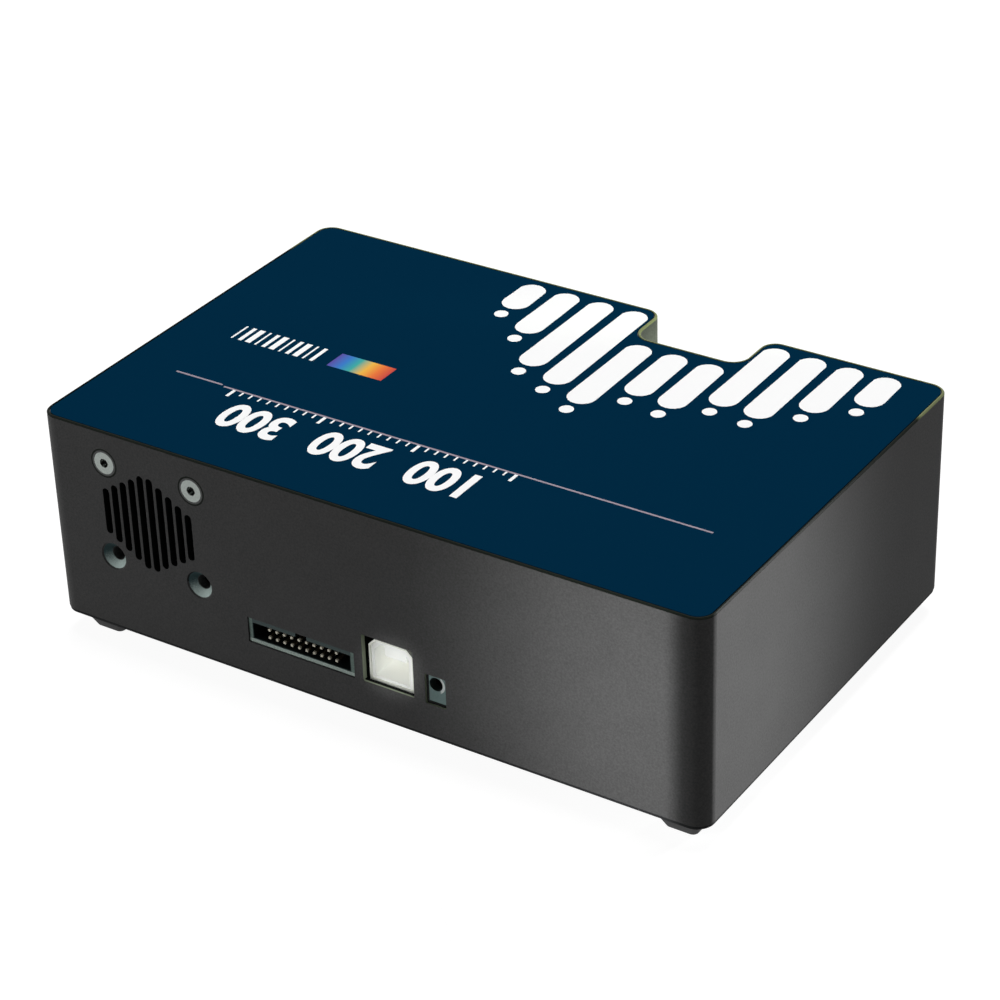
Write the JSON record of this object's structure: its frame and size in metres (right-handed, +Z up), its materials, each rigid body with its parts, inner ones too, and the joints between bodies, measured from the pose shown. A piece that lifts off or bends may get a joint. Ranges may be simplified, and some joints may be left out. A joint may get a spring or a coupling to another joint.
{
  "type": "spectrometer",
  "caption": "Compact bench spectrometer in a dark rounded case with a fibre bay, a fan grille, data and power sockets, a sealed optical bench and a cooled detector.",
  "frame": {"origin": "centre of the bounding box's underside, level with the soles of the feet", "axes": "+X along the case, +Y towards the side with the fibre bay, so -Y is the side with the sockets and the fan grille, +Z up"},
  "size_m": [0.17, 0.11, 0.0575],
  "materials": {
    "black_anodised": "fine bead-blasted black anodising",
    "inner_anodised": "matt black anodising, machined edges",
    "printed_label": "printed satin film",
    "rubber": "matt rubber",
    "plain_steel": "plain stainless steel",
    "black_steel": "black oxide steel",
    "nickel": "nickel plating",
    "gold_contacts": "gold-plated contacts",
    "brass": "turned brass",
    "bare_aluminium": "plain machined aluminium",
    "black_plastic": "moulded black plastic",
    "white_plastic": "moulded white plastic",
    "circuit_board": "solder-masked glass laminate",
    "chip": "chip moulding",
    "ferrite": "pressed ferrite",
    "mirror_glass": "coated glass",
    "clear_glass": "polished glass",
    "ceramic": "ceramic",
    "flat_cable": "polyimide film"
  },
  "bodies": {
    "chassis": {"housing": "black_anodised", "base_plate": "black_anodised", "bench_body": "inner_anodised", "bench_cover": "inner_anodised", "collimator_mount": "inner_anodised", "grating_mount": "inner_anodised", "focusing_mount": "inner_anodised", "slit_holder": "inner_anodised", "light_baffle": "inner_anodised", "top_label": "printed_label", "foot_front_left": "rubber", "foot_front_right": "rubber", "foot_back_left": "rubber", "foot_back_right": "rubber", "fan_screws": "plain_steel", "board_screws": "plain_steel", "bench_screws": "plain_steel", "cover_screws": "plain_steel", "optic_screws": "plain_steel", "sink_screws": "plain_steel", "slit_disc": "plain_steel", "case_screws": "black_steel", "pillar_screws": "black_steel", "usb_shell": "nickel", "fibre_connector": "nickel", "connector_washer": "nickel", "connector_nut": "nickel", "dc_jack_sleeve": "nickel", "io_header_pins": "gold_contacts", "usb_contacts": "gold_contacts", "dc_jack_pin": "gold_contacts", "board_standoffs": "brass", "fan_bearing": "brass", "bench_pillars": "bare_aluminium", "sink_spacers": "bare_aluminium", "heat_sink": "bare_aluminium", "cold_plate": "bare_aluminium", "fan_frame": "black_plastic", "dc_jack_body": "black_plastic", "io_header_shroud": "black_plastic", "board_flex_socket": "black_plastic", "detector_flex_socket": "black_plastic", "usb_insert": "white_plastic", "main_board": "circuit_board", "detector_board": "circuit_board", "fan_circuit_board": "circuit_board", "processor_chip": "chip", "power_inductor": "ferrite", "fan_stator": "ferrite", "collimating_mirror": "mirror_glass", "focusing_mirror": "mirror_glass", "diffraction_grating": "mirror_glass", "detector_window": "clear_glass", "order_filter": "clear_glass", "detector_array": "ceramic", "peltier_module": "ceramic", "detector_flex": "flat_cable"},
    "rotor": {"fan_rotor": "black_plastic", "fan_magnet": "ferrite", "fan_shaft": "plain_steel"}
  },
  "joints": [
    {"name": "fan_spin", "type": "hinge", "parent": "chassis", "child": "rotor", "pos_m": [-0.0553, -0.046, 0.0373], "axis": [0, 1, 0], "continuous": true}
  ]
}
